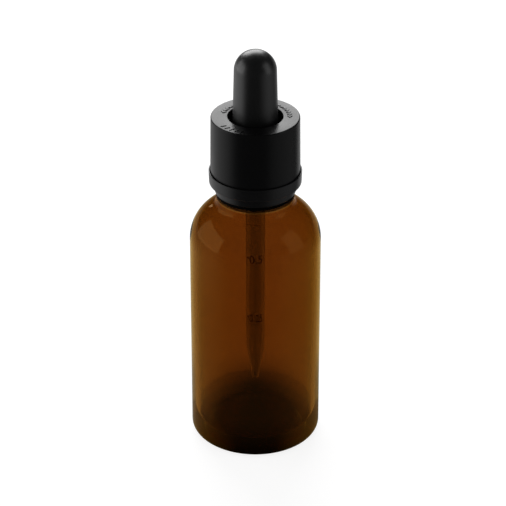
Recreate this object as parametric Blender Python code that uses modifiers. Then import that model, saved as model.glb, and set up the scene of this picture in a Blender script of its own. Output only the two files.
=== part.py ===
"""Amber glass dropper bottle with a child-resistant, tamper-evident screw closure.

Metres, +Z up. The origin is the centre of the plane that the bottle stands on, and Z is the axis of
every turned piece. The closure is stacked from the glass lip upwards: bulb flange, inner cap, outer
cap. Each piece is drawn from a datum of its own and placed by its location.
"""

import math

import bmesh
import bpy

# Driving dimensions of the glass
bottle_radius = 0.01650
bottle_height = 0.07900
glass_wall = 0.00190
base_thickness = 0.00260
neck_radius = 0.00790
neck_wall = 0.00250
thread_depth = 0.00090
bead_stand = 0.00130
bead_below_lip = 0.00840

# Driving dimensions of the closure
cap_above_lip = 0.01040
cap_foot_above_bead = 0.00300
cap_top_thickness = 0.00130
cap_draft = 0.00017
skirt_foot_wall = 0.00070
retainer_catch = 0.00015
shell_wall = 0.00100
cup_lip_wall = 0.00024
push_travel = 0.00120

# Driving dimensions of the dropper
flange_thickness = 0.00120
flange_width = 0.00270
bulb_length = 0.02760
bulb_taper = 0.00053
grip_length = 0.00640
pipette_radius = 0.00240
tip_above_floor = 0.01040

# Clearances: seat between pieces that rest on each other, run and slide between pieces that move
seat_gap = 0.00030
run_gap = 0.00030
slide_gap = 0.00020
thread_gap = 0.00015
cup_gap = 0.00018
bead_gap = 0.00025
flap_gap = 0.00045
flange_gap = 0.00045
grip_gap = 0.00015
hole_gap = 0.00105
ledge_gap = 0.00035

# How far a joined or cutting shape runs into the piece, and the distance that joins points of a seam
sink = 0.00030
merge_distance = 0.00001

# Facets round the axis
cap_steps = 48
dropper_steps = 32
smooth_angle = math.radians(35)

# Repeated features start this many degrees round from the seam of the turned pieces
pattern_start = 2

# Radii worked inwards and outwards from the neck
bore_radius = neck_radius - neck_wall
bead_radius = neck_radius + bead_stand
skirt_bore_radius = neck_radius + thread_depth + thread_gap
skirt_foot_radius = skirt_bore_radius + skirt_foot_wall
retainer_radius = skirt_foot_radius + slide_gap
skirt_radius = retainer_radius + retainer_catch
shell_inner_radius = skirt_radius + slide_gap
cap_foot_radius = shell_inner_radius + shell_wall
cup_inner_radius = cap_foot_radius + cup_gap
flange_radius = skirt_bore_radius - flange_gap
bulb_foot_radius = flange_radius - flange_width
bulb_top_radius = bulb_foot_radius - bulb_taper

# Heights that several pieces share, all counted from the glass lip
bead_under_height = bottle_height - bead_below_lip
flap_top_height = bead_under_height - run_gap
flange_height = bottle_height + seat_gap
plate_height = flange_height + flange_thickness + seat_gap
cap_foot_height = bead_under_height + cap_foot_above_bead
cap_length = bottle_height + cap_above_lip - cap_foot_height
cup_floor_height = cap_foot_height - push_travel - run_gap
cap_under_height = bottle_height + cap_above_lip - cap_top_thickness
crown_top_height = cap_under_height - push_travel - run_gap


def arc(centre, radii, start, end, points):
    """Points of an elliptical arc in the plane of radius and height. Angles are in degrees."""
    turns = [math.radians(start + (end - start) * i / (points - 1)) for i in range(points)]
    return [(centre[0] + radii[0] * math.cos(a), centre[1] + radii[1] * math.sin(a)) for a in turns]


def fillet_up(corner, upper_radius, turn, points):
    """A concave arc that leaves the point corner and ends upright at the smaller radius upper_radius."""
    radius = (corner[0] - upper_radius) / (1 - math.cos(math.radians(turn)))
    centre = (upper_radius + radius, corner[1] + radius * math.sin(math.radians(turn)))
    return arc(centre, (radius, radius), 180 + turn, 180, points)


def spaced(count):
    """Start angles of count features spaced evenly round the axis."""
    return [pattern_start + 360 * i / count for i in range(count)]


def link_mesh(name, mesh, collection):
    thing = bpy.data.objects.new(name, mesh)
    collection.objects.link(thing)
    return thing


def turned(name, outline, steps, collection, closed=True):
    """Turns an outline of (radius, height) points round Z. It runs down the outer side of the piece."""
    edges = [(i, i + 1) for i in range(len(outline) - 1)]
    if closed:
        edges.append((len(outline) - 1, 0))
    mesh = bpy.data.meshes.new(name)
    mesh.from_pydata([(radius, 0, height) for radius, height in outline], edges, [])
    thing = link_mesh(name, mesh, collection)
    screw = thing.modifiers.new("turn", "SCREW")
    screw.steps = steps
    screw.render_steps = steps
    screw.use_merge_vertices = True
    screw.merge_threshold = merge_distance
    return thing


def curved_bars(name, radii, starts, span, heights, slices, collection):
    """Equal bars bent round Z, one at each start angle in degrees.

    heights gives the bottom and top of a bar at the share of its span from 0 to 1.
    """
    shape = bmesh.new()
    for start in starts:
        others = set(shape.verts)
        cube = bmesh.ops.create_cube(shape, size=1)["verts"]
        edges = {edge for vert in cube for edge in vert.link_edges}
        along = [edge for edge in edges if edge.verts[0].co.y != edge.verts[1].co.y]
        if slices > 1:
            bmesh.ops.subdivide_edges(shape, edges=along, cuts=slices - 1, use_grid_fill=True)
        for vert in set(shape.verts) - others:
            share = vert.co.y + 0.5
            radius = radii[vert.co.x > 0]
            height = heights(share)[vert.co.z > 0]
            angle = math.radians(start + span * share)
            vert.co = (radius * math.cos(angle), radius * math.sin(angle), height)
    mesh = bpy.data.meshes.new(name)
    shape.to_mesh(mesh)
    shape.free()
    return link_mesh(name, mesh, collection)


def combine(thing, operation, tool):
    """Joins or cuts a piece with a tool, which stays in the tools collection, hidden from renders."""
    tool.hide_render = True
    tool.display_type = "WIRE"
    boolean = thing.modifiers.new(tool.name, "BOOLEAN")
    boolean.operation = operation
    boolean.solver = "EXACT"
    boolean.object = tool


def material(name, colour, roughness, transmission=0.0):
    made = bpy.data.materials.new(name)
    made.use_nodes = True
    shader = made.node_tree.nodes["Principled BSDF"]
    shader.inputs["Base Color"].default_value = (*colour, 1)
    shader.inputs["Roughness"].default_value = roughness
    shader.inputs["Metallic"].default_value = 0
    shader.inputs["Transmission Weight"].default_value = transmission
    return made


# Glass bottle, drawn from the plane that it stands on
shoulder_end = 61.5
shoulder_fillet_turn = 62
ledge_sweep = 0.00095
ledge_side = 0.00129
ledge_stand = 0.00170
ledge_round = 0.00025
heel_radius = 0.00225
foot_width = 0.00185
push_up = 0.00140
floor_edge_height = 0.00320
floor_corner_radius = 0.00320
inner_shoulder_offset = 0.00120
inner_shoulder_rise = 0.00900
inner_shoulder_end = 75
inner_fillet_turn = 74
lip_outer_round = 0.00080
lip_inner_round = 0.00060
bead_depth = 0.00130
bead_edge = 0.00070
bead_chamfer = 0.00035
bead_cone = 0.00070
root_step = 0.00020
root_radius = neck_radius + root_step
ledge_radius = root_radius + ledge_stand


def make_bottle(collection):
    # The shoulder hangs from the ledge: it meets the sweep under the ledge at the same slope
    ledge_height = ring_foot_height - ledge_gap
    shoulder_turn = math.radians(shoulder_end)
    sweep_turn = math.radians(shoulder_fillet_turn)
    shoulder_width = (bottle_radius - ledge_radius - ledge_sweep) / (1 - math.cos(shoulder_turn))
    shoulder_rise = shoulder_width * math.tan(shoulder_turn) / math.tan(sweep_turn)
    shoulder_top_height = ledge_height - ledge_side - ledge_sweep / math.tan(sweep_turn / 2)
    wall_top_height = shoulder_top_height - shoulder_rise * math.sin(shoulder_turn)
    inside_radius = bottle_radius - glass_wall
    floor_radius = inside_radius - floor_corner_radius
    floor_rise = push_up + base_thickness - floor_edge_height
    floor_shares = (0, 0.35, 0.7)
    floor = [
        (floor_radius * share, floor_edge_height + floor_rise * (1 - share * share))
        for share in floor_shares
    ]
    corner_height = floor_edge_height + floor_corner_radius
    corner_radii = (floor_corner_radius, floor_corner_radius)
    corner = arc((floor_radius, corner_height), corner_radii, -90, 0, 5)
    inside_centre = (bore_radius + inner_shoulder_offset, wall_top_height)
    inside_radii = (inside_radius - inside_centre[0], inner_shoulder_rise)
    inside = arc(inside_centre, inside_radii, 0, inner_shoulder_end, 8)
    throat = fillet_up(inside[-1], bore_radius, inner_fillet_turn, 6)
    lip_inside_centre = (bore_radius + lip_inner_round, bottle_height - lip_inner_round)
    lip_inside = arc(lip_inside_centre, (lip_inner_round, lip_inner_round), 180, 90, 3)
    lip_outside_centre = (neck_radius - lip_outer_round, bottle_height - lip_outer_round)
    lip_outside = arc(lip_outside_centre, (lip_outer_round, lip_outer_round), 90, 0, 4)
    bead = [
        (neck_radius, bead_under_height + bead_depth + bead_cone),
        (bead_radius, bead_under_height + bead_depth),
        (bead_radius, bead_under_height + bead_depth - bead_edge),
        (bead_radius - bead_chamfer, bead_under_height),
        (root_radius, bead_under_height),
    ]
    ledge_centre = (ledge_radius - ledge_round, ledge_height - ledge_round)
    ledge = [(root_radius, ledge_height), *arc(ledge_centre, (ledge_round, ledge_round), 90, 0, 4)]
    shoulder_centre = (bottle_radius - shoulder_width, wall_top_height)
    shoulder = arc(shoulder_centre, (shoulder_width, shoulder_rise), shoulder_end, 0, 10)
    sweep = fillet_up(shoulder[0], ledge_radius, shoulder_fillet_turn, 6)[::-1]
    heel_centre = (bottle_radius - heel_radius, heel_radius)
    heel = arc(heel_centre, (heel_radius, heel_radius), 0, -90, 5)
    foot_inner_radius = bottle_radius - heel_radius - foot_width
    under = arc((0, 0), (foot_inner_radius, push_up), 0, 90, 6)
    inner_side = floor + corner + inside + throat[1:] + lip_inside
    outer_side = lip_outside + bead + ledge + sweep[:-1] + shoulder + heel + under
    bottle = turned("bottle", inner_side + outer_side, cap_steps, collection, closed=False)
    bottle.data.materials.append(material("amber glass", (0.32, 0.11, 0.015), 0.05, 0.9))
    return bottle


# Tamper ring, drawn from the foot of the lip that its band ends in
cup_lip_overlap = 0.00110
cup_taper = 0.00010
cup_edge_round = 0.00030
cup_floor_thickness = 0.00060
band_wall = 0.00080
band_taper = 0.00012
band_foot_round = 0.00030
foot_lip_wall = 0.00035
foot_lip_length = 0.00080
foot_lip_below_flaps = 0.00100
flap_edge = 0.00030
flap_drop = 0.00070
flap_count = 8
flap_slot_span = 8
flap_slot_stop = 0.00012
bridge_count = 10
bridge_span = 4
bridge_height = 0.00030
bridge_inset = 0.00004
bridge_width = 0.00034
ring_foot_height = flap_top_height - flap_edge - flap_drop - foot_lip_below_flaps


def make_tamper_ring(collection, tools):
    rim_height = cap_foot_height + cup_lip_overlap - ring_foot_height
    floor_height = cup_floor_height - ring_foot_height
    under_height = floor_height - cup_floor_thickness
    ring_radius = cup_inner_radius + cup_lip_wall
    band_inner_radius = bead_radius + bead_gap
    band_radius = band_inner_radius + band_wall
    flap_radius = root_radius + flap_gap
    flap_top = flap_top_height - ring_foot_height
    edge_centre = (ring_radius - cup_taper - cup_edge_round, under_height + cup_edge_round)
    foot_centre = (band_radius - band_taper - band_foot_round, foot_lip_length + band_foot_round)
    foot_lip_radius = band_inner_radius + foot_lip_wall
    outline = [
        (cup_inner_radius, rim_height),
        (ring_radius, rim_height),
        *arc(edge_centre, (cup_edge_round, cup_edge_round), 0, -90, 4),
        (band_radius, under_height),
        *arc(foot_centre, (band_foot_round, band_foot_round), 0, -90, 4),
        (foot_lip_radius, foot_lip_length),
        (foot_lip_radius, 0),
        (band_inner_radius, 0),
        (band_inner_radius, flap_top - flap_edge - flap_drop),
        (flap_radius, flap_top - flap_edge),
        (flap_radius, flap_top),
        (band_inner_radius, flap_top),
        (band_inner_radius, floor_height),
        (cup_inner_radius, floor_height),
    ]
    ring = turned("tamper_ring", outline, cap_steps, collection)
    slot_radii = (flap_radius - sink, band_inner_radius - flap_slot_stop)
    slot_heights = (flap_top - flap_edge - flap_drop - sink, flap_top + sink)
    slots = curved_bars(
        "flap slots", slot_radii, spaced(flap_count), flap_slot_span, lambda share: slot_heights, 1, tools
    )
    combine(ring, "DIFFERENCE", slots)
    bridge_radii = (band_inner_radius + bridge_inset, band_inner_radius + bridge_inset + bridge_width)
    bridge_heights = (floor_height - sink, floor_height + bridge_height)
    bridges = curved_bars(
        "broken bridges",
        bridge_radii,
        spaced(bridge_count),
        bridge_span,
        lambda share: bridge_heights,
        1,
        tools,
    )
    combine(ring, "UNION", bridges)
    ring.data.materials.append(material("black ring plastic", (0.012, 0.012, 0.013), 0.35))
    return ring


# Teeth that couple the two caps when the outer one is pushed down, the same size on both
tooth_count = 12
tooth_height = 0.00100
tooth_span = 27
tooth_lead = 1.5
tooth_slices = 3
tooth_inset = 0.00015
crown_wall = 0.00140
crown_inner_radius = skirt_radius - crown_wall
tooth_radii = (crown_inner_radius + tooth_inset, skirt_radius - tooth_inset)

# Outer cap, drawn from its foot
top_edge_round = 0.00035
hole_edge_round = 0.00015
foot_chamfer = 0.00030
retainer_foot = 0.00030
retainer_height = 0.00080
retainer_cone = 0.00035


def make_outer_cap(collection, tools):
    under = cap_length - cap_top_thickness
    cap_top_radius = cap_foot_radius - cap_draft
    cap_hole_radius = bulb_foot_radius + hole_gap
    edge_centre = (cap_top_radius - top_edge_round, cap_length - top_edge_round)
    hole_centre = (cap_hole_radius + hole_edge_round, cap_length - hole_edge_round)
    retainer_top = retainer_foot + retainer_height
    outline = [
        *arc(edge_centre, (top_edge_round, top_edge_round), 90, 0, 4),
        (cap_foot_radius, foot_chamfer),
        (cap_foot_radius - foot_chamfer, 0),
        (shell_inner_radius, 0),
        (retainer_radius, retainer_foot),
        (retainer_radius, retainer_top - retainer_cone),
        (shell_inner_radius, retainer_top),
        (shell_inner_radius, under),
        (cap_hole_radius, under),
        *arc(hole_centre, (hole_edge_round, hole_edge_round), 180, 90, 3),
    ]
    cap = turned("outer_cap", outline, cap_steps, collection)
    starts = [start + tooth_lead for start in spaced(tooth_count)]
    teeth = curved_bars(
        "drive teeth",
        tooth_radii,
        starts,
        tooth_span,
        lambda share: (under - tooth_height * share, under + sink),
        tooth_slices,
        tools,
    )
    combine(cap, "UNION", teeth)
    cap.data.materials.append(material("black shell plastic", (0.012, 0.012, 0.013), 0.32))
    return cap


# Inner cap, drawn from the underside of its plate
plate_thickness = 0.00120
collar_relief = 0.00005
collar_wall = 0.00110
finger_count = 3
finger_span = 95
finger_slices = 10
finger_thickness = 0.00060


def make_inner_cap(collection, tools):
    foot = cup_floor_height + bridge_height + seat_gap - plate_height
    ledge = cap_foot_height + retainer_foot + retainer_height + seat_gap - plate_height
    crown_top = crown_top_height - plate_height
    crown_root = crown_top - tooth_height
    plate_hole_radius = bulb_foot_radius + run_gap
    collar_inner_radius = plate_hole_radius + collar_relief
    collar_radius = collar_inner_radius + collar_wall
    outline = [
        (crown_inner_radius, crown_root),
        (skirt_radius, crown_root),
        (skirt_radius, ledge),
        (skirt_foot_radius, ledge),
        (skirt_foot_radius, foot),
        (skirt_bore_radius, foot),
        (skirt_bore_radius, 0),
        (plate_hole_radius, 0),
        (collar_inner_radius, plate_thickness),
        (collar_inner_radius, crown_top),
        (collar_radius, crown_top),
        (collar_radius, plate_thickness),
        (crown_inner_radius, plate_thickness),
    ]
    cap = turned("inner_cap", outline, cap_steps, collection)
    teeth = curved_bars(
        "ratchet teeth",
        tooth_radii,
        spaced(tooth_count),
        tooth_span,
        lambda share: (crown_root - sink, crown_top - tooth_height * share),
        tooth_slices,
        tools,
    )
    combine(cap, "UNION", teeth)
    finger_root = plate_thickness - finger_thickness
    finger_rise = crown_top - plate_thickness
    finger_radii = (collar_radius + run_gap, crown_inner_radius - run_gap)
    finger_top = finger_root + finger_thickness
    fingers = curved_bars(
        "spring fingers",
        finger_radii,
        spaced(finger_count),
        finger_span,
        lambda share: (finger_root + finger_rise * share, finger_top + finger_rise * share),
        finger_slices,
        tools,
    )
    combine(cap, "UNION", fingers)
    cap.data.materials.append(material("black cap plastic", (0.012, 0.012, 0.013), 0.40))
    return cap


# Rubber bulb, drawn from the underside of its flange
flange_round = 0.00030
bulb_dome_height = 0.00522
bulb_side_wall = 0.00110
bulb_top_wall = 0.00130
bulb_fillet = 0.00040
grip_flare = 0.00120


def make_bulb(collection):
    shoulder = bulb_length - bulb_dome_height
    dome = arc((0, shoulder), (bulb_top_radius, bulb_dome_height), 90, 0, 9)
    fillet_centre = (bulb_foot_radius + bulb_fillet, flange_thickness + bulb_fillet)
    foot = arc(fillet_centre, (bulb_fillet, bulb_fillet), 180, 270, 3)
    rim_centre = (flange_radius - flange_round, flange_thickness - flange_round)
    rim = arc(rim_centre, (flange_round, flange_round), 90, 0, 3)
    grip_radius = pipette_radius + grip_gap
    cavity_foot_radius = bulb_foot_radius - bulb_side_wall
    cavity_top_radius = bulb_top_radius - bulb_side_wall
    cavity_radii = (cavity_top_radius, bulb_dome_height - bulb_top_wall)
    inside = arc((0, shoulder), cavity_radii, 0, 90, 7)
    outline = [
        *dome,
        *foot,
        *rim,
        (flange_radius, 0),
        (grip_radius, 0),
        (grip_radius, grip_length),
        (cavity_foot_radius, grip_length + grip_flare),
        *inside,
    ]
    bulb = turned("bulb", outline, dropper_steps, collection, closed=False)
    bulb.data.materials.append(material("black rubber", (0.014, 0.014, 0.014), 0.45))
    return bulb


# Glass pipette, drawn from its tip
pipette_wall = 0.00080
tip_radius = 0.00083
tip_bore_radius = 0.00040
tip_round = 0.00012
taper_length = 0.00920
top_bead_stand = 0.00050
top_bead_height = 0.00110
top_bead_seat = 0.00070
pipette_reach = flange_height - push_up - base_thickness - tip_above_floor


def make_pipette(collection):
    top = pipette_reach + grip_length + top_bead_seat + top_bead_height
    bore = pipette_radius - pipette_wall
    bead_half = top_bead_height / 2
    bead_middle = top - bead_half
    outline = [
        *arc((pipette_radius, bead_middle), (top_bead_stand, bead_half), 90, -90, 5),
        (pipette_radius, taper_length),
        (tip_radius, tip_round),
        (tip_radius - tip_round, 0),
        (tip_bore_radius, 0),
        (bore, taper_length),
        (bore, top),
    ]
    pipette = turned("pipette", outline, dropper_steps, collection)
    pipette.data.materials.append(material("clear glass", (0.9, 0.92, 0.9), 0.04, 0.9))
    return pipette


def shade(thing):
    """Turns the modifiers of a piece into faces, then smooths all but its sharp edges."""
    graph = bpy.context.evaluated_depsgraph_get()
    mesh = bpy.data.meshes.new_from_object(thing.evaluated_get(graph))
    thing.modifiers.clear()
    mesh.name = thing.name
    thing.data = mesh
    mesh.shade_smooth()
    mesh.set_sharp_from_angle(angle=smooth_angle)


def new_collection(name):
    made = bpy.data.collections.new(name)
    bpy.context.scene.collection.children.link(made)
    return made


def new_axis(name, height, parent, collection):
    """An empty on the Z axis, at a height above its parent, that a moving piece turns or slides on."""
    axis = bpy.data.objects.new(name, None)
    axis.empty_display_size = neck_radius
    axis.location.z = height
    axis.parent = parent
    collection.objects.link(axis)
    return axis


def assemble():
    for thing in list(bpy.data.objects):
        bpy.data.objects.remove(thing)
    pieces = new_collection("tincture bottle")
    tools = new_collection("cutters")
    bottle = make_bottle(pieces)
    ring = make_tamper_ring(pieces, tools)
    inner_cap = make_inner_cap(pieces, tools)
    outer_cap = make_outer_cap(pieces, tools)
    bulb = make_bulb(pieces)
    pipette = make_pipette(pieces)
    bpy.context.view_layer.update()
    for thing in (bottle, ring, inner_cap, outer_cap, bulb, pipette):
        shade(thing)

    # The dropper rises with the closure, the inner cap turns on it, and the outer cap slides on that
    ring.parent = bottle
    ring.location.z = ring_foot_height
    rise = new_axis("closure_rise", flange_height, bottle, pieces)
    bulb.parent = rise
    pipette.parent = rise
    pipette.location.z = -pipette_reach
    turn = new_axis("cap_turn", plate_height - flange_height, rise, pieces)
    inner_cap.parent = turn
    push = new_axis("child_lock_push", cap_foot_height - plate_height, turn, pieces)
    outer_cap.parent = push


assemble()
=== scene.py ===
import math

import bmesh
import bpy
from mathutils import Matrix, Vector


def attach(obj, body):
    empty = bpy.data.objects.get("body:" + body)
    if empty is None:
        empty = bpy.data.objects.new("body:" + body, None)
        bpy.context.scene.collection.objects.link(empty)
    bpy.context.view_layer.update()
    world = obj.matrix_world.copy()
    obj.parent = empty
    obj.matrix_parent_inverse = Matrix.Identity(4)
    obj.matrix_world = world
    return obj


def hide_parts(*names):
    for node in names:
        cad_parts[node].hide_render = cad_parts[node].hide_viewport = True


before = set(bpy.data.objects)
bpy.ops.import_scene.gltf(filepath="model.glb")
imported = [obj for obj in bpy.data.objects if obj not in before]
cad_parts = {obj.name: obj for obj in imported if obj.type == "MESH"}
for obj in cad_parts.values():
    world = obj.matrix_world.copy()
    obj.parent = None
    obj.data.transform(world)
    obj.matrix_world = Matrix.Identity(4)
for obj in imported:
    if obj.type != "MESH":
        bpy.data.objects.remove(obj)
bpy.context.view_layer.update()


# Amber glass bottle
# A round bottle blown in a mould from brown glass, with a rounded shoulder, a pushed-up base and a low
# ledge under the ring. Its moulded neck carries a right-handed thread and the bead that holds the ring.

weld_gap = 1e-6

body_radius = 0.0165
heel_round = 0.00225
foot_radius = 0.0124
push_up = 0.0014

inside_radius = 0.0146
inside_floor = 0.004
inside_floor_round = 0.0816
inside_floor_turn = 8.03
inside_corner = 0.0032
inside_corner_top = 0.0064
inside_shoulder_width = 0.008
inside_shoulder_rise = 0.009
inside_shoulder_turn = 75
throat_turn = 74
bore_radius = 0.0054

lip_height = 0.079
lip_inner_round = 0.0006
lip_outer_round = 0.0008
neck_radius = 0.0079
neck_root_radius = 0.0081
bead_radius = 0.0092
bead_foot = 0.0706
bead_chamfer = 0.00035
bead_side_foot = bead_foot + 0.0006
bead_side_top = bead_foot + 0.0013
bead_top = bead_foot + 0.0020

thread_pitch = 0.003
thread_start = 0.0734
thread_turns = 1.35
thread_rise = 0.0008
thread_half_foot = 0.0006
thread_half_crest = 0.00025
thread_run_out = 0.12
thread_low = 0.0727
thread_high = 0.0782

ledge_radius = 0.0098
ledge_top = 0.06795
ledge_foot = 0.06666
ledge_round = 0.00025

# The sweep under the ledge runs into the shoulder, so their slopes match where they meet.
sweep_turn = 62
sweep_width = 0.00095
sweep_angle = math.radians(sweep_turn)
sweep_round = sweep_width / (1 - math.cos(sweep_angle))
shoulder_turn = 61.5
shoulder_angle = math.radians(shoulder_turn)
shoulder_width = (body_radius - ledge_radius - sweep_width) / (1 - math.cos(shoulder_angle))
shoulder_rise = shoulder_width * math.tan(shoulder_angle) / math.tan(sweep_angle)
body_top = ledge_foot - sweep_round * math.sin(sweep_angle) - shoulder_rise * math.sin(shoulder_angle)


def line_to(shape, vert, radius, height):
    """Draws a straight line of the outline to a radius and a height."""
    end = bmesh.ops.extrude_vert_indiv(shape, verts=[vert])["verts"][0]
    end.co = (radius, 0, height)
    return end


def arc_to(shape, vert, centre, turn, steps, squash=1.0):
    """Draws an arc of the outline round a centre, in degrees from outwards to upwards.

    squash is the height of an oval arc over its width.
    """
    radius, height = centre
    before = set(shape.verts)
    vert.co.z = height + (vert.co.z - height) / squash
    made = bmesh.ops.spin(
        shape, geom=[vert], cent=(radius, 0, height), axis=(0, -1, 0), angle=math.radians(turn), steps=steps
    )
    for moved in {vert} | (set(shape.verts) - before):
        moved.co.z = height + (moved.co.z - height) * squash
    return next(item for item in made["geom_last"] if isinstance(item, bmesh.types.BMVert))


def turn_outline(shape, steps):
    """Turns the whole outline once round the Z axis and closes it on itself."""
    outline = list(shape.verts) + list(shape.edges)
    bmesh.ops.spin(
        shape, geom=outline, cent=(0, 0, 0), axis=(0, 0, 1), angle=math.tau, steps=steps, use_merge=True
    )
    bmesh.ops.remove_doubles(shape, verts=shape.verts, dist=weld_gap)
    bmesh.ops.recalc_face_normals(shape, faces=shape.faces)


def finished_piece(name, shape, finish, body, crease=35):
    """Makes a piece of a finished shape, with sharp edges where faces meet at more than the crease."""
    mesh = bpy.data.meshes.new(name)
    shape.to_mesh(mesh)
    shape.free()
    mesh.shade_smooth()
    mesh.set_sharp_from_angle(angle=math.radians(crease))
    mesh.materials.append(finish)
    piece = bpy.data.objects.new(name, mesh)
    bpy.context.scene.collection.objects.link(piece)
    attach(piece, body)
    return piece


def feed(tree, node, inputs):
    """Gives inputs of a node, by name or number, a value or the output of another node."""
    for name, given in inputs.items():
        if isinstance(given, bpy.types.NodeSocket):
            tree.links.new(given, node.inputs[name])
        else:
            node.inputs[name].default_value = given


def add_node(tree, kind, inputs=None, **settings):
    """Adds a node with its settings and its inputs."""
    node = tree.nodes.new(kind)
    for name, value in settings.items():
        setattr(node, name, value)
    feed(tree, node, inputs or {})
    return node


def maths(tree, operation, *terms, clamp=False):
    """The result of a sum on numbers or on the outputs of other nodes."""
    return add_node(
        tree, "ShaderNodeMath", dict(enumerate(terms)), operation=operation, use_clamp=clamp
    ).outputs[0]


def graded(tree, value, start, end, low=0.0, high=1.0, curve="SMOOTHSTEP"):
    """Goes from low to high while a value goes from start to end."""
    inputs = {"Value": value, "From Min": start, "From Max": end, "To Min": low, "To Max": high}
    return add_node(tree, "ShaderNodeMapRange", inputs, interpolation_type=curve).outputs["Result"]


def blended(tree, share, first, second, blend_type="MIX"):
    """Two colours blended by a share: 0 gives the first and 1 the second."""
    inputs = {"Factor": share, "A": first, "B": second}
    return add_node(
        tree, "ShaderNodeMix", inputs, data_type="RGBA", blend_type=blend_type
    ).outputs["Result"]


def place_on_piece(tree):
    """The place on the piece that is looked at."""
    return add_node(tree, "ShaderNodeTexCoord").outputs["Object"]


def split(tree, place):
    """The X, Y and Z of a place or a direction."""
    return add_node(tree, "ShaderNodeSeparateXYZ", {0: place}).outputs


def flat_length(tree, x, y):
    """The length of a flat run from its X and Y."""
    run = add_node(tree, "ShaderNodeCombineXYZ", {"X": x, "Y": y}).outputs[0]
    return add_node(tree, "ShaderNodeVectorMath", {0: run}, operation="LENGTH").outputs["Value"]


def new_group(name, inputs, outputs):
    """A shader node group with named inputs (name, kind, value) and outputs (name, kind)."""
    group = bpy.data.node_groups.new(name, "ShaderNodeTree")
    for label, kind, value in inputs:
        group.interface.new_socket(label, in_out="INPUT", socket_type=kind).default_value = value
    for label, kind in outputs:
        group.interface.new_socket(label, in_out="OUTPUT", socket_type=kind)
    return group, group.nodes.new("NodeGroupInput"), group.nodes.new("NodeGroupOutput")


# Moulded surfaces are never quite even: the group gives slow swells, a fine skin and a varied gloss.
surface, taken, given = new_group(
    "moulded surface",
    [
        ("Swell Size", "NodeSocketFloat", 0.02),
        ("Swell Depth", "NodeSocketFloat", 0.0),
        ("Skin Size", "NodeSocketFloat", 0.0005),
        ("Skin Depth", "NodeSocketFloat", 0.0),
        ("Low Roughness", "NodeSocketFloat", 0.2),
        ("High Roughness", "NodeSocketFloat", 0.3),
    ],
    [("Roughness", "NodeSocketFloat"), ("Normal", "NodeSocketVector")],
)
gloss_patches_per_metre = 90
gloss_range = (0.3, 0.7)
place = place_on_piece(surface)
heights = []
for size, depth in (("Swell Size", "Swell Depth"), ("Skin Size", "Skin Depth")):
    scale = maths(surface, "DIVIDE", 1, taken.outputs[size])
    noise = add_node(surface, "ShaderNodeTexNoise", {"Vector": place, "Scale": scale, "Detail": 2})
    heights.append(maths(surface, "MULTIPLY", noise.outputs["Fac"], taken.outputs[depth]))
both = maths(surface, "ADD", *heights)
bump = add_node(surface, "ShaderNodeBump", {"Height": both, "Strength": 1, "Distance": 1})
patches = add_node(
    surface, "ShaderNodeTexNoise", {"Vector": place, "Scale": gloss_patches_per_metre, "Detail": 4}
)
gloss = graded(
    surface,
    patches.outputs["Fac"],
    *gloss_range,
    low=taken.outputs["Low Roughness"],
    high=taken.outputs["High Roughness"],
    curve="LINEAR",
)
feed(surface, given, {"Roughness": gloss, "Normal": bump.outputs["Normal"]})


def new_finish(name, colour, swell, skin, roughness, more=None):
    """A material with the moulded surface.

    swell and skin are (size, depth), roughness is (low, high), and more holds other values of the shader.
    """
    finish = bpy.data.materials.new(name)
    finish.use_nodes = True
    tree = finish.node_tree
    labels = ("Swell Size", "Swell Depth", "Skin Size", "Skin Depth", "Low Roughness", "High Roughness")
    moulded = add_node(
        tree, "ShaderNodeGroup", dict(zip(labels, (*swell, *skin, *roughness))), node_tree=surface
    )
    inputs = {
        "Base Color": (*colour, 1),
        "Roughness": moulded.outputs["Roughness"],
        "Normal": moulded.outputs["Normal"],
        **(more or {}),
    }
    feed(tree, tree.nodes["Principled BSDF"], inputs)
    return finish


# The brown sits in the outer skin. It is deepest where the eye looks straight in, and pales to yellow
# at the edges. The weak bend lets light through the wall, and the tint brings the reflections back.
deep_brown = (0.16, 0.035, 0.0035)
edge_yellow = (0.9, 0.7, 0.3)
glass_ior = 1.05
glass_swell = (0.012, 0.00001)
glass_skin = (0.0006, 0.0)
glass_roughness = (0.01, 0.03)
glass_light = {"Transmission Weight": 1, "IOR": glass_ior, "Specular Tint": (46, 26, 7.2, 1)}
amber_glass = new_finish(
    "amber glass", deep_brown, glass_swell, glass_skin, glass_roughness, glass_light
)

# Light that leaves the glass is measured by its slant outside: 0 is along the skin, 1 straight out.
tree = amber_glass.node_tree
slant = add_node(tree, "ShaderNodeLayerWeight", {"Blend": 0.5}).outputs["Facing"]
leaving = add_node(tree, "ShaderNodeNewGeometry").outputs["Backfacing"]
cosine = maths(tree, "SUBTRACT", 1, slant)
sine_squared = maths(tree, "SUBTRACT", 1, maths(tree, "MULTIPLY", cosine, cosine))
widening = maths(tree, "MULTIPLY_ADD", leaving, glass_ior**2 - 1, 1)
sine_squared_outside = maths(tree, "MULTIPLY", sine_squared, widening)
straightness = maths(tree, "SQRT", maths(tree, "SUBTRACT", 1, sine_squared_outside, clamp=True))


def browns_by_angle(tree, straightness, stops):
    """The brown of the glass by its angle to the eye, from the edge to straight on."""
    browns = add_node(tree, "ShaderNodeValToRGB", {"Fac": straightness})
    shades = browns.color_ramp.elements
    for shade, position, colour in ((shades[0], 0, edge_yellow), (shades[1], 1, deep_brown)):
        shade.position = position
        shade.color = (*colour, 1)
    for position, colour in stops:
        shades.new(position).color = (*colour, 1)
    return browns.outputs["Color"]


body_stops = (
    (0.12, (0.64, 0.40, 0.10)),
    (0.19, (0.47, 0.26, 0.045)),
    (0.28, (0.34, 0.152, 0.020)),
    (0.37, (0.248, 0.091, 0.009)),
    (0.45, (0.187, 0.064, 0.0045)),
    (0.56, (0.173, 0.045, 0.0031)),
    (0.85, (0.16, 0.034, 0.0027)),
)
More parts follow.
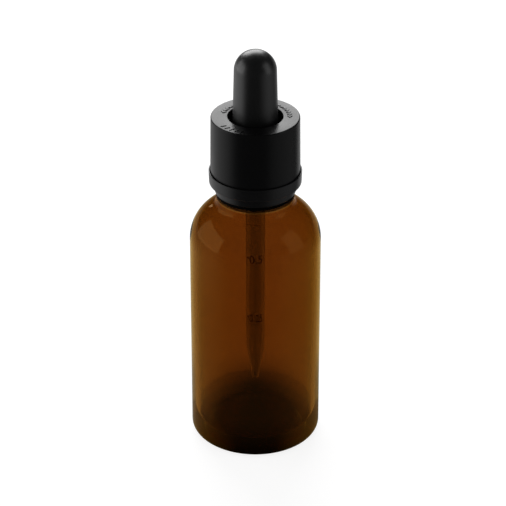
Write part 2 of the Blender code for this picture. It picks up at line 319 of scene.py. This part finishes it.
# The shoulder is thicker, so its edge is narrow, with the deepest brown beside it.
shoulder_stops = (
    (0.10, (0.62, 0.42, 0.12)),
    (0.17, (0.34, 0.17, 0.025)),
    (0.25, (0.13, 0.042, 0.002)),
    (0.45, (0.10, 0.022, 0.001)),
    (0.65, (0.135, 0.029, 0.0015)),
    (0.85, (0.16, 0.034, 0.0027)),
)
shoulder_zone = (0.054, 0.060)
heel_zone = (0.0034, 0.0010)
ledge_edge_zone = (0.06715, 0.06730)
ledge_zone = (0.06750, 0.06765)
neck_zone = (0.0688, 0.0696)
# Painted shade for the heel and for the ledge under the ring, and a painted highlight on the ledge's edge.
heel_painted_shade = (0.50, 0.65, 0.70)
ledge_edge_painted_highlight = (0.24, 0.14, 0.045)
ledge_painted_shade = (0.006, 0.003, 0.001)

level = split(tree, place_on_piece(tree))["Z"]
by_place = blended(
    tree,
    graded(tree, level, *shoulder_zone),
    browns_by_angle(tree, straightness, body_stops),
    browns_by_angle(tree, straightness, shoulder_stops),
)
# The heel is darkened as painted shade, as hardly any light comes through it. The ledge under the ring is
# painted black as shade, with a pale painted highlight on its edge. The neck above the ledge shows when the
# closure is raised, so it is the same brown as the rest.
brown = by_place
for blend_type, shade, zone in (
    ("MULTIPLY", (*heel_painted_shade, 1), heel_zone),
    ("MIX", (*ledge_edge_painted_highlight, 1), ledge_edge_zone),
    ("MIX", (*ledge_painted_shade, 1), ledge_zone),
    ("MIX", by_place, neck_zone),
):
    brown = blended(tree, graded(tree, level, *zone), brown, shade, blend_type)
feed(tree, tree.nodes["Principled BSDF"], {"Base Color": brown})

# The inner skin is clear, but its floor and the foot of its wall are painted dark as shade, because hardly
# any light comes up through the thick floor of the bottle.
inner_clear = (0.97, 0.95, 0.9)
inner_painted_shade = (0.02, 0.013, 0.006)
side_zone = (0.0100, 0.0125)
side_share_out_of_shade = 0.55
above_floor_zone = (0.0060, 0.0080)
inner_glass = new_finish(
    "inner skin of the glass", inner_clear, glass_swell, glass_skin, glass_roughness, glass_light
)
tree = inner_glass.node_tree
parts = split(tree, place_on_piece(tree))
from_axis = flat_length(tree, parts["X"], parts["Y"])
at_side = graded(tree, from_axis, *side_zone, high=side_share_out_of_shade, curve="LINEAR")
above_floor = graded(tree, parts["Z"], *above_floor_zone, curve="LINEAR")
share_out_of_shade = maths(tree, "MAXIMUM", at_side, above_floor)
inner_colour = blended(tree, share_out_of_shade, (*inner_painted_shade, 1), (*inner_clear, 1))
feed(tree, tree.nodes["Principled BSDF"], {"Base Color": inner_colour})

glass = bmesh.new()
pen = bmesh.ops.create_vert(glass, co=(0, 0, inside_floor))["vert"][0]
pen = arc_to(glass, pen, (0, inside_floor - inside_floor_round), -inside_floor_turn, steps=6)
pen = arc_to(glass, pen, (inside_radius - inside_corner, inside_corner_top), 90, steps=10)
pen.co = (inside_radius, 0, inside_corner_top)
pen = line_to(glass, pen, inside_radius, body_top)
pen = arc_to(
    glass,
    pen,
    (inside_radius - inside_shoulder_width, body_top),
    inside_shoulder_turn,
    steps=16,
    squash=inside_shoulder_rise / inside_shoulder_width,
)
throat = pen.co.copy()
throat_angle = math.radians(throat_turn)
throat_round = (throat.x - bore_radius) / (1 - math.cos(throat_angle))
throat_centre = (bore_radius + throat_round, throat.z + throat_round * math.sin(throat_angle))
pen = arc_to(glass, pen, throat_centre, -throat_turn, steps=10)
pen = line_to(glass, pen, bore_radius, lip_height - lip_inner_round)
pen = arc_to(glass, pen, (bore_radius + lip_inner_round, lip_height - lip_inner_round), -90, steps=5)
pen = line_to(glass, pen, neck_radius - lip_outer_round, lip_height)
pen = arc_to(glass, pen, (neck_radius - lip_outer_round, lip_height - lip_outer_round), -90, steps=6)
neck_top = pen
pen = line_to(glass, pen, neck_radius, bead_top)
neck_side = next(edge for edge in pen.link_edges if neck_top in edge.verts)
pen = line_to(glass, pen, bead_radius, bead_side_top)
pen = line_to(glass, pen, bead_radius, bead_side_foot)
pen = line_to(glass, pen, bead_radius - bead_chamfer, bead_foot)
pen = line_to(glass, pen, neck_root_radius, bead_foot)
pen = line_to(glass, pen, neck_root_radius, ledge_top)
pen = line_to(glass, pen, ledge_radius - ledge_round, ledge_top)
pen = arc_to(glass, pen, (ledge_radius - ledge_round, ledge_top - ledge_round), -90, steps=5)
pen = line_to(glass, pen, ledge_radius, ledge_foot)
pen = arc_to(glass, pen, (ledge_radius + sweep_round, ledge_foot), sweep_turn, steps=10)
pen = arc_to(
    glass,
    pen,
    (body_radius - shoulder_width, body_top),
    -shoulder_turn,
    steps=24,
    squash=shoulder_rise / shoulder_width,
)
pen = line_to(glass, pen, body_radius, heel_round)
pen = arc_to(glass, pen, (body_radius - heel_round, heel_round), -90, steps=10)
pen = line_to(glass, pen, foot_radius, 0)
pen = arc_to(glass, pen, (0, 0), 90, steps=14, squash=push_up / foot_radius)
pen.co.x = 0
bmesh.ops.subdivide_edges(glass, edges=[neck_side], cuts=60)
turn_outline(glass, steps=144)

# The thread is drawn out of the plain wall of the neck, and runs out at both ends.
on_neck = 1e-5
for vert in glass.verts:
    radius, height = math.hypot(vert.co.x, vert.co.y), vert.co.z
    if abs(radius - neck_radius) > on_neck or height < thread_low or height > thread_high:
        continue
    around = math.atan2(vert.co.y, vert.co.x) / math.tau
    along = (height - thread_start) / thread_pitch - around
    turns = round(along) + around
    off = abs(along - round(along)) * thread_pitch
    crest = min(1, max(0, (thread_half_foot - off) / (thread_half_foot - thread_half_crest)))
    lead_in = min(1, max(0, turns / thread_run_out))
    lead_out = min(1, max(0, (thread_turns - turns) / thread_run_out))
    grown = 1 + thread_rise / neck_radius * crest * lead_in * lead_out
    vert.co.x *= grown
    vert.co.y *= grown

# The inner skin is the inside of the floor and every face above the push-up that looks at the axis.
push_up_clear = 0.003
floor_reach = 0.008
for face in glass.faces:
    middle = face.calc_center_median()
    outwards = face.normal.dot(Vector((middle.x, middle.y, 0)).normalized())
    on_floor = face.normal.z > 0.5 and middle.z < floor_reach
    if middle.z > push_up_clear and (outwards < -0.1 or on_floor):
        face.material_index = 1
bottle_glass = finished_piece("bottle_glass", glass, amber_glass, "bottle")
bottle_glass.data.materials.append(inner_glass)
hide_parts("bottle")


# Tamper ring
# A thin ring moulded from black plastic: a shallow cup round the foot of the outer cap and a narrower
# band with eight sprung flaps that hook under the bead. Ten short stubs are left of its broken bridges.

cup_radius = 0.01162
cup_inner_radius = 0.01138
cup_under = 0.0715
cup_floor = 0.0721
cup_rim = 0.0747
rim_edge = 0.00006
rim_inner_edge = 0.00005
cup_taper = 0.0001
cup_corner = 0.0003
band_radius = 0.01025
band_inner_radius = 0.00945
band_foot = 0.0691
band_taper = 0.00012
band_corner = 0.0003
lip_radius = 0.0098
lip_foot = 0.0683

flap_count = 8
flap_first = 10
flap_sweep = 37
flap_radius = 0.00855
flap_foot = 0.0693
flap_tip_foot = 0.0700
flap_top = 0.0703
flap_overlap = 0.0001

stub_count = 10
stub_first = 2
stub_sweep = 4
stub_radius = 0.00966
stub_half_foot = 0.00017
stub_half_top = 0.00013
stub_foot = 0.0718
stub_top = 0.0724

ring_plastic = new_finish(
    "satin black ring plastic",
    colour=(0.0035, 0.0035, 0.004),
    swell=(0.006, 0.000004),
    skin=(0.00025, 0.0000012),
    roughness=(0.28, 0.34),
)
# A thin lip at the foot closes the gap over the glass ledge. No light reaches it, so it gets a darker and
# duller copy of the plastic, as painted shade.
lip_painted_shade = new_finish(
    "black lip in painted shade",
    colour=(0.0008, 0.0008, 0.0008),
    swell=(0.006, 0.0),
    skin=(0.00025, 0.000004),
    roughness=(0.7, 0.8),
    more={"Specular IOR Level": 0.05},
)


def swept_block(shape, corners, first, sweep, steps, fall=0.0):
    """Sweeps a flat face, given by its (radius, height) corners, round the axis between two angles."""
    turn = Matrix.Rotation(math.radians(first), 3, "Z")
    verts = [bmesh.ops.create_vert(shape, co=turn @ Vector((r, 0, z)))["vert"][0] for r, z in corners]
    face = shape.faces.new(verts)
    before = set(shape.faces) - {face}
    bmesh.ops.spin(
        shape,
        geom=[face],
        cent=(0, 0, 0),
        axis=(0, 0, 1),
        dvec=(0, 0, fall / steps),
        angle=math.radians(sweep),
        steps=steps,
    )
    bmesh.ops.recalc_face_normals(shape, faces=list(set(shape.faces) - before))


ring = bmesh.new()
start = bmesh.ops.create_vert(ring, co=(cup_inner_radius, 0, cup_rim - rim_edge))["vert"][0]
pen = line_to(ring, start, cup_inner_radius + rim_inner_edge, cup_rim)
pen = line_to(ring, pen, cup_radius - rim_edge, cup_rim)
pen = line_to(ring, pen, cup_radius, cup_rim - rim_edge)
pen = line_to(ring, pen, cup_radius - cup_taper, cup_under + cup_corner)
pen = arc_to(ring, pen, (cup_radius - cup_taper - cup_corner, cup_under + cup_corner), -90, steps=6)
pen = line_to(ring, pen, band_radius, cup_under)
pen = line_to(ring, pen, band_radius - band_taper, band_foot + band_corner)
pen = arc_to(ring, pen, (band_radius - band_taper - band_corner, band_foot + band_corner), -90, steps=6)
pen = line_to(ring, pen, lip_radius, band_foot)
pen = line_to(ring, pen, lip_radius, lip_foot)
pen = line_to(ring, pen, band_inner_radius, lip_foot)
pen = line_to(ring, pen, band_inner_radius, cup_floor)
pen = line_to(ring, pen, cup_inner_radius, cup_floor)
ring.edges.new((pen, start))
turn_outline(ring, steps=144)

flap_root = band_inner_radius + flap_overlap
flap = [(flap_root, flap_foot), (flap_radius, flap_tip_foot), (flap_radius, flap_top), (flap_root, flap_top)]
for number in range(flap_count):
    swept_block(ring, flap, flap_first + 360 / flap_count * number, flap_sweep, steps=8)
stub = [
    (stub_radius - stub_half_foot, stub_foot),
    (stub_radius + stub_half_foot, stub_foot),
    (stub_radius + stub_half_top, stub_top),
    (stub_radius - stub_half_top, stub_top),
]
for number in range(stub_count):
    swept_block(ring, stub, stub_first + 360 / stub_count * number, stub_sweep, steps=2)
# The faces of the lip take the darker copy, its painted shade.
lip_limit = band_foot + 1e-5
for face in ring.faces:
    face.material_index = 1 if max(vert.co.z for vert in face.verts) < lip_limit else 0
tamper_band = finished_piece("tamper_band", ring, ring_plastic, "tamper_ring")
tamper_band.data.materials.append(lip_painted_shade)
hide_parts("tamper_ring")


# Glass pipette
# A drawn tube of clear glass with a narrowed tip. Its top is melted into a bead that the grip of the
# bulb snaps over.

tube_radius = 0.0024
tube_bore = 0.0016
tube_top = 0.0875
tube_top_round = 0.0003
melted_width = 0.0005
melted_half_height = 0.00055
taper_top = 0.0236
taper_inner_fall = 0.0001
taper_inner_half_height = 0.0006
tube_tip = 0.0144
tip_radius = 0.00083
tip_edge = 0.00012
tip_bore = 0.0004

clear_glass = new_finish(
    "clear pipette glass",
    colour=(0.64, 0.64, 0.64),
    swell=(0.02, 0.000003),
    skin=(0.0006, 0.0),
    roughness=(0.0, 0.02),
    more={"Transmission Weight": 1, "IOR": 1.5},
)
tree = clear_glass.node_tree
clear_depth = add_node(
    tree, "ShaderNodeVolumeAbsorption", {"Color": (0.94, 0.955, 0.945, 1), "Density": 800}
)
feed(tree, tree.nodes["Material Output"], {"Volume": clear_depth.outputs["Volume"]})

tube = bmesh.new()
start = bmesh.ops.create_vert(tube, co=(tube_bore, 0, tube_top - tube_top_round))["vert"][0]
pen = arc_to(tube, start, (tube_bore + tube_top_round, tube_top - tube_top_round), -90, steps=4)
pen = line_to(tube, pen, tube_radius, tube_top)
pen = arc_to(
    tube,
    pen,
    (tube_radius, tube_top - melted_half_height),
    -180,
    steps=12,
    squash=melted_half_height / melted_width,
)
# Each step of the taper's start: how far the wall has drawn in, and its height over the taper.
for drawn_in, over in ((0, 0.0008), (0.00004, 0.0002), (0.00022, -0.0009)):
    pen = line_to(tube, pen, tube_radius - drawn_in, taper_top + over)
pen = line_to(tube, pen, tip_radius, tube_tip + tip_edge)
pen = line_to(tube, pen, tip_radius - tip_edge, tube_tip)
pen = line_to(tube, pen, tip_bore, tube_tip)
pen = line_to(tube, pen, tube_bore - taper_inner_fall, taper_top - taper_inner_half_height)
pen = line_to(tube, pen, tube_bore, taper_top + taper_inner_half_height)
tube.edges.new((pen, start))
turn_outline(tube, steps=96)
pipette_tube = finished_piece("pipette_tube", tube, clear_glass, "dropper")
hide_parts("pipette")


# Scale of the pipette
# Two fill marks with plain numbers, printed on the front of the tube in dark enamel and fired on.

print_height = 0.0023
print_width = 0.0036
print_left = -0.0016
print_half_thickness = 0.00001
digit_height_share = 0.7
tick_size = Vector((0.0010, 0.00035, 2 * print_half_thickness))
tick_middle = -0.0023
tick_lift = 0.0003
strip_width = 0.00012
strips_left = 24
strips_right = 17
fill_marks = (("0.5", 0.0501), ("0.25", 0.0331))

enamel = new_finish(
    "fired dark enamel",
    colour=(0.02, 0.015, 0.012),
    swell=(0.002, 0.0),
    skin=(0.00008, 0.000002),
    roughness=(0.35, 0.5),
)

marks = bmesh.new()
for number, level in fill_marks:
    label = bpy.data.curves.new("number", "FONT")
    label.body = number
    label.size = print_height / digit_height_share
    label.extrude = print_half_thickness
    label.align_x = "LEFT"
    label.align_y = "CENTER"
    text = bpy.data.objects.new("number", label)
    bpy.context.scene.collection.objects.link(text)
    bpy.context.view_layer.update()
    flat = bpy.data.meshes.new_from_object(text.evaluated_get(bpy.context.evaluated_depsgraph_get()))
    bpy.data.objects.remove(text)
    across = [vert.co.x for vert in flat.vertices]
    to_zero = Matrix.Translation((-min(across), 0, 0))
    stretch = Matrix.Diagonal((print_width / (max(across) - min(across)), 1, 1, 1))
    flat.transform(Matrix.Translation((print_left, level, 0)) @ stretch @ to_zero)
    marks.from_mesh(flat)
    bpy.data.meshes.remove(flat)
    tick = bmesh.ops.create_cube(marks, size=1)["verts"]
    bmesh.ops.scale(marks, vec=tick_size, verts=tick)
    bmesh.ops.translate(marks, vec=(tick_middle, level + tick_lift, 0), verts=tick)
bmesh.ops.remove_doubles(marks, verts=marks.verts, dist=weld_gap)

# The flat print is cut into narrow strips, so that it can be bent round the tube.
for cut in range(-strips_left, strips_right + 1):
    everything = list(marks.verts) + list(marks.edges) + list(marks.faces)
    bmesh.ops.bisect_plane(
        marks, geom=everything, dist=1e-8, plane_co=(cut * strip_width, 0, 0), plane_no=(1, 0, 0)
    )
for vert in marks.verts:
    across, level, proud = vert.co
    radius = tube_radius + 2 * print_half_thickness + proud
    vert.co = (radius * math.sin(across / radius), -radius * math.cos(across / radius), level)
bmesh.ops.recalc_face_normals(marks, faces=marks.faces)
finished_piece("pipette_scale", marks, enamel, "dropper")


# Rubber bulb
# A hollow teat moulded from black rubber with a faintly silky skin. Its flange lies on the lip of the
# glass as the gasket, and its thick foot grips the top of the pipette.

flange_radius = 0.0085
flange_low = 0.0793
flange_top = flange_low + 0.0012
flange_round = 0.0003
bulb_foot_radius = 0.0058
bulb_foot_round = 0.0004
bulb_top_radius = 0.00527
bulb_wall = 0.0011
dome_foot = 0.10168
dome_height = 0.00522
dome_wall = 0.0013
grip_gap = 0.00015
grip_top = flange_low + 0.0064
hollow_foot = flange_low + 0.0076

rubber = new_finish(
    "black rubber",
    colour=(0.004, 0.004, 0.0042),
    swell=(0.008, 0.000006),
    skin=(0.0002, 0.0000015),
    roughness=(0.32, 0.38),
    more={"Specular IOR Level": 0.95},
)

teat = bmesh.new()
pen = bmesh.ops.create_vert(teat, co=(0, 0, dome_foot + dome_height))["vert"][0]
pen = arc_to(teat, pen, (0, dome_foot), -90, steps=20, squash=dome_height / bulb_top_radius)
pen = line_to(teat, pen, bulb_foot_radius, flange_top + bulb_foot_round)
pen = arc_to(teat, pen, (bulb_foot_radius + bulb_foot_round, flange_top + bulb_foot_round), 90, steps=5)
pen = line_to(teat, pen, flange_radius - flange_round, flange_top)
pen = arc_to(teat, pen, (flange_radius - flange_round, flange_top - flange_round), -90, steps=4)
pen = line_to(teat, pen, flange_radius, flange_low)
pen = line_to(teat, pen, tube_radius + grip_gap, flange_low)
pen = line_to(teat, pen, tube_radius + grip_gap, grip_top)
pen = line_to(teat, pen, bulb_foot_radius - bulb_wall, hollow_foot)
pen = line_to(teat, pen, bulb_top_radius - bulb_wall, dome_foot)
inner_squash = (dome_height - dome_wall) / (bulb_top_radius - bulb_wall)
pen = arc_to(teat, pen, (0, dome_foot), 90, steps=14, squash=inner_squash)
pen.co.x = 0
turn_outline(teat, steps=128)
bulb_teat = finished_piece("bulb_teat", teat, rubber, "dropper")
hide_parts("bulb")


# Inner cap
# The black plastic cap that screws on the glass, with ratchet teeth and spring fingers on its top.
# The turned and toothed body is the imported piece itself. The thread inside its skirt is added here.

skirt_bore = 0.00895
cap_thread_overlap = 0.00005
cap_thread_radius = 0.0082
cap_thread_turns = 1.5
cap_thread_back = 0.35
cap_thread_start = 0.0749 - cap_thread_back * thread_pitch

cap_plastic = new_finish(
    "satin black cap plastic",
    colour=(0.0035, 0.0035, 0.0038),
    swell=(0.006, 0.000004),
    skin=(0.00025, 0.0000012),
    roughness=(0.34, 0.42),
)
for place_of_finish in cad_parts["inner_cap"].material_slots:
    place_of_finish.material = cap_plastic

cap_thread = bmesh.new()
swept_block(
    cap_thread,
    [
        (skirt_bore + cap_thread_overlap, cap_thread_start - thread_half_foot),
        (skirt_bore + cap_thread_overlap, cap_thread_start + thread_half_foot),
        (cap_thread_radius, cap_thread_start + thread_half_crest),
        (cap_thread_radius, cap_thread_start - thread_half_crest),
    ],
    -360 * cap_thread_back,
    360 * cap_thread_turns,
    steps=160,
    fall=cap_thread_turns * thread_pitch,
)
finished_piece("inner_cap_thread", cap_thread, cap_plastic, "inner_cap")


# Outer cap
# A plain round shell moulded from black plastic, with a large hole that the bulb stands in. Twelve
# drive teeth under its top catch the ratchet teeth when it is pushed down.

shell_foot = 0.0736
shell_foot_radius = 0.0112
shell_foot_edge = 0.0003
shell_top = 0.0894
shell_top_radius = 0.01103
shell_top_round = 0.00035
shell_under = shell_top - 0.0013
shell_inner_radius = 0.0102
hole_radius = 0.00685
hole_round = 0.00018
catch_radius = 0.00985
catch_low = shell_foot + 0.0003
catch_high = shell_foot + 0.00075
catch_end = shell_foot + 0.0011
tooth_count = 12
tooth_first = 3.5
tooth_sweep = 27
tooth_fall = 0.001
tooth_inner_radius = 0.00875
tooth_outer_radius = 0.00985
tooth_top = shell_under + 0.00125

shell_plastic = new_finish(
    "satin black shell plastic",
    colour=(0.0035, 0.0035, 0.0037),
    swell=(0.006, 0.000004),
    skin=(0.0003, 0.0000012),
    roughness=(0.26, 0.32),
    more={"Specular IOR Level": 0.25},
)

shell = bmesh.new()
start = bmesh.ops.create_vert(shell, co=(hole_radius + hole_round, 0, shell_top))["vert"][0]
pen = line_to(shell, start, shell_top_radius - shell_top_round, shell_top)
pen = arc_to(shell, pen, (shell_top_radius - shell_top_round, shell_top - shell_top_round), -90, steps=8)
pen = line_to(shell, pen, shell_foot_radius, shell_foot + shell_foot_edge)
pen = line_to(shell, pen, shell_foot_radius - shell_foot_edge, shell_foot)
pen = line_to(shell, pen, shell_inner_radius, shell_foot)
pen = line_to(shell, pen, catch_radius, catch_low)
pen = line_to(shell, pen, catch_radius, catch_high)
pen = line_to(shell, pen, shell_inner_radius, catch_end)
pen = line_to(shell, pen, shell_inner_radius, shell_under)
pen = line_to(shell, pen, hole_radius, shell_under)
pen = line_to(shell, pen, hole_radius, shell_top - hole_round)
pen = arc_to(shell, pen, (hole_radius + hole_round, shell_top - hole_round), -90, steps=5)
bmesh.ops.remove_doubles(shell, verts=[pen, start], dist=weld_gap)
turn_outline(shell, steps=144)
tooth = [
    (tooth_inner_radius, shell_under),
    (tooth_inner_radius, tooth_top),
    (tooth_outer_radius, tooth_top),
    (tooth_outer_radius, shell_under),
]
for number in range(tooth_count):
    first = tooth_first + 360 / tooth_count * number
    swept_block(shell, tooth, first, tooth_sweep, steps=6, fall=-tooth_fall)
cap_shell = finished_piece("cap_shell", shell, shell_plastic, "outer_cap")
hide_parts("outer_cap")


# Signs on the cap top
# Three rows of small raised arrowheads, moulded with the shell. Two rows show which way the cap turns,
# and the row at the front points down over the edge, to say that the cap is pushed.

sign_low = shell_top - 0.0001
sign_high = shell_top + 0.00014

signs = bmesh.new()


def raised_head(angle, heading, radius, length, width):
    """A raised arrowhead. heading is the way it points, in degrees round from outwards."""
    # Three sides round a circle of radius 1 make a head 1.5 long and the root of 3 wide.
    turn = Matrix.Rotation(math.radians(angle), 4, "Z")
    size = Matrix.Diagonal((width / 3**0.5, length / 1.5, 1, 1))
    point = Matrix.Rotation(math.radians(heading - 90), 4, "Z") @ size
    where = turn @ Matrix.Translation((radius, 0, (sign_low + sign_high) / 2)) @ point
    bmesh.ops.create_cone(
        signs, cap_ends=True, segments=3, radius1=1, radius2=1, depth=sign_high - sign_low, matrix=where
    )


for count, first, step, heading, radius, length, width in (
    (5, 134, 7.5, 90, 0.00815, 0.00085, 0.0015),
    (7, 46, -8, -90, 0.00845, 0.00085, 0.0013),
    (5, -145, 8.5, 0, 0.0094, 0.0014, 0.0010),
):
    for number in range(count):
        raised_head(first + step * number, heading, radius, length, width)
finished_piece("cap_signs", signs, shell_plastic, "outer_cap", crease=20)


# Floor and backdrop
# A wide pale floor that keeps the shadow of the bottle, under an even pale studio. Both are darker for
# rays through glass, which see a shadow painted round the foot, and mirrored rays see soft glowing patches,
# painted reflections that stand for the cards of a photo studio.

def mixed(tree, share, first, second):
    """Mixes two shaders by a share: 0 gives the first and 1 the second."""
    return add_node(tree, "ShaderNodeMixShader", {0: share, 1: first.outputs[0], 2: second.outputs[0]})


def mirrored_share(tree, rays):
    """1 for a ray that was mirrored by a surface, and 0 for one that came through glass."""
    return maths(tree, "SUBTRACT", rays["Is Glossy Ray"], rays["Is Transmission Ray"], clamp=True)


floor_radius = 4.0
floor_gap = 0.00005
seen_grey = 0.3
seen_glow_strength = 0.85
far_zone = (0.06, 0.13)
near_share = 0.4
pool_start_zone = (0.016, 0.032)
pool_end_zone = (0.04, 0.09)
pool_strength = 0.18
# The shape of the shadow painted round the foot, and the share of painted glow in it.
foot_narrowing = 1.8
foot_behind = 0.008
foot_zone = (0.006, 0.033)
foot_darkest = 0.02
foot_palest = 0.86
foot_glow_share = 0.5
foot_glow_grey = 0.78

slab = bmesh.new()
bmesh.ops.create_circle(slab, cap_ends=True, radius=floor_radius, segments=96)
bmesh.ops.translate(slab, vec=(0, 0, -floor_gap), verts=slab.verts)
floor_mesh = bpy.data.meshes.new("floor")
slab.to_mesh(floor_mesh)
slab.free()
floor = bpy.data.objects.new("floor", floor_mesh)
bpy.context.scene.collection.objects.link(floor)

pale = bpy.data.materials.new("pale floor")
pale.use_nodes = True
tree = pale.node_tree
tree.nodes.remove(tree.nodes["Principled BSDF"])
floor_mesh.materials.append(pale)
rays = add_node(tree, "ShaderNodeLightPath").outputs
place = place_on_piece(tree)
parts = split(tree, place)
from_middle = flat_length(tree, parts["X"], parts["Y"])
heading = add_node(tree, "ShaderNodeVectorMath", {0: place}, operation="NORMALIZE").outputs[0]

# The camera sees a floor that mostly glows, so that it comes out white with only a faint shadow.
seen_lit = add_node(tree, "ShaderNodeBsdfDiffuse", {"Color": (seen_grey,) * 3 + (1,)})
seen_glow = add_node(tree, "ShaderNodeEmission", {"Strength": seen_glow_strength})
seen = add_node(tree, "ShaderNodeAddShader", {0: seen_lit.outputs[0], 1: seen_glow.outputs[0]})

# Mirrored rays see painted reflections: soft glowing patches, each at an angle round the bottle from its
# front, dimmer near the bottle, and a dim glowing pool round the foot. from_side and to_middle are how
# nearly a place lies in the patch's direction.
painted_reflections = 0.03
for angle, from_side, to_middle, strength in (
    (-105, 0.5, 0.98, 0.64),
    (75, 0.6, 1.0, 0.2),
    (150, 0.86, 1.0, 0.3),
    (180, 0.6, 1.0, 0.3),
):
    direction = (math.sin(math.radians(angle)), -math.cos(math.radians(angle)), 0)
    nearness = add_node(tree, "ShaderNodeVectorMath", {0: heading, 1: direction}, operation="DOT_PRODUCT")
    patch = graded(tree, nearness.outputs["Value"], from_side, to_middle, high=strength)
    painted_reflections = maths(tree, "ADD", patch, painted_reflections)
faded = maths(tree, "MULTIPLY", painted_reflections, graded(tree, from_middle, *far_zone, low=near_share))
pool_start = graded(tree, from_middle, *pool_start_zone, high=pool_strength)
pool_end = graded(tree, from_middle, *pool_end_zone, low=1, high=0)
pool = maths(tree, "MULTIPLY_ADD", pool_start, pool_end, faded)
dim = add_node(tree, "ShaderNodeEmission", {"Strength": pool})

# All other rays, such as those through glass, see a painted shadow under and behind the foot. Half of what
# they see is a painted glow, because no light comes through the glass to the floor beneath it.
across = maths(tree, "MULTIPLY", parts["X"], foot_narrowing)
backwards = maths(tree, "SUBTRACT", parts["Y"], foot_behind, clamp=True)
past_foot = flat_length(tree, across, backwards)
foot_painted_shadow = graded(tree, past_foot, *foot_zone, low=foot_darkest, high=foot_palest)
lit = add_node(tree, "ShaderNodeBsdfDiffuse", {"Color": foot_painted_shadow})
foot_glow = {"Color": (foot_glow_grey,) * 3 + (1,), "Strength": foot_painted_shadow}
glow = add_node(tree, "ShaderNodeEmission", foot_glow)

not_seen = mixed(tree, mirrored_share(tree, rays), mixed(tree, foot_glow_share, lit, glow), dim)
whole = mixed(tree, rays["Is Camera Ray"], not_seen, seen)
feed(tree, tree.nodes["Material Output"], {"Surface": whole.outputs[0]})

ambient_strength = 0.3
backdrop_strength = 1
mirrored_strength = 0.04
front_strength = 0.03
front_to_behind = (-0.1, 0.5)
studio = bpy.data.worlds.new("pale studio")
bpy.context.scene.world = studio
studio.use_nodes = True
tree = studio.node_tree
ambient = tree.nodes["Background"]
feed(tree, ambient, {"Color": (1, 1, 1, 1), "Strength": ambient_strength})
backdrop = add_node(tree, "ShaderNodeBackground", {"Strength": backdrop_strength})
dark = add_node(tree, "ShaderNodeBackground", {"Strength": mirrored_strength})
# Through the bottle the studio is darker in front than behind.
view = add_node(tree, "ShaderNodeTexCoord").outputs["Generated"]
through_strength = graded(tree, split(tree, view)["Y"], *front_to_behind, low=front_strength)
behind = add_node(tree, "ShaderNodeBackground", {"Strength": through_strength})
rays = add_node(tree, "ShaderNodeLightPath").outputs
through_glass = maths(tree, "SUBTRACT", rays["Is Transmission Ray"], rays["Diffuse Depth"], clamp=True)
mirrored = mixed(tree, mirrored_share(tree, rays), ambient, dark)
through = mixed(tree, through_glass, mirrored, behind)
whole = mixed(tree, rays["Is Camera Ray"], through, backdrop)
feed(tree, tree.nodes["World Output"], {"Surface": whole.outputs[0]})


# Lamps
# Three soft boxes: a large one at the left, a smaller one at the right, and one behind and above.

aim = (0, 0, 0.06)


def around(angle, height, distance):
    """A place at an angle round the bottle from its front and a height angle, both in degrees."""
    turn, rise = math.radians(angle), math.radians(height)
    level = distance * math.cos(rise)
    return level * math.sin(turn), -level * math.cos(turn), aim[2] + distance * math.sin(rise)


def soft_box(name, where, width, height, strength):
    """A lamp with an even rectangular face. strength is how bright that face is, where 1 is white."""
    lamp = bpy.data.lights.new(name, "AREA")
    lamp.shape = "RECTANGLE"
    lamp.size, lamp.size_y = width, height
    lamp.energy = strength * math.pi * width * height
    box = bpy.data.objects.new(name, lamp)
    box.location = where
    box.rotation_euler = (Vector(aim) - Vector(where)).to_track_quat("-Z", "Y").to_euler()
    box.visible_camera = False
    box.visible_transmission = False
    bpy.context.scene.collection.objects.link(box)


left = around(angle=-93, height=5, distance=0.7)
right = around(angle=74, height=12, distance=0.75)
back = around(angle=-173, height=32, distance=0.9)
soft_box("left_box", left, width=0.78, height=0.75, strength=1.2)
soft_box("right_box", right, width=0.42, height=0.90, strength=0.6)
soft_box("back_box", back, width=0.75, height=0.60, strength=4.5)


# Camera
# It stands at the height and distance that the outline of the photographed bottle gives.

eye = bpy.data.cameras.new("camera")
eye.lens = 173.14
eye.sensor_width = 36
eye.shift_x = -0.0047
eye.clip_start = 0.01
eye.clip_end = 50
camera = bpy.data.objects.new("camera", eye)
camera.location = (0, -0.53789, 0.34865)
camera.rotation_euler = (math.radians(61.043), 0, 0)
bpy.context.scene.collection.objects.link(camera)
bpy.context.scene.camera = camera
bpy.context.scene.view_settings.view_transform = "Standard"
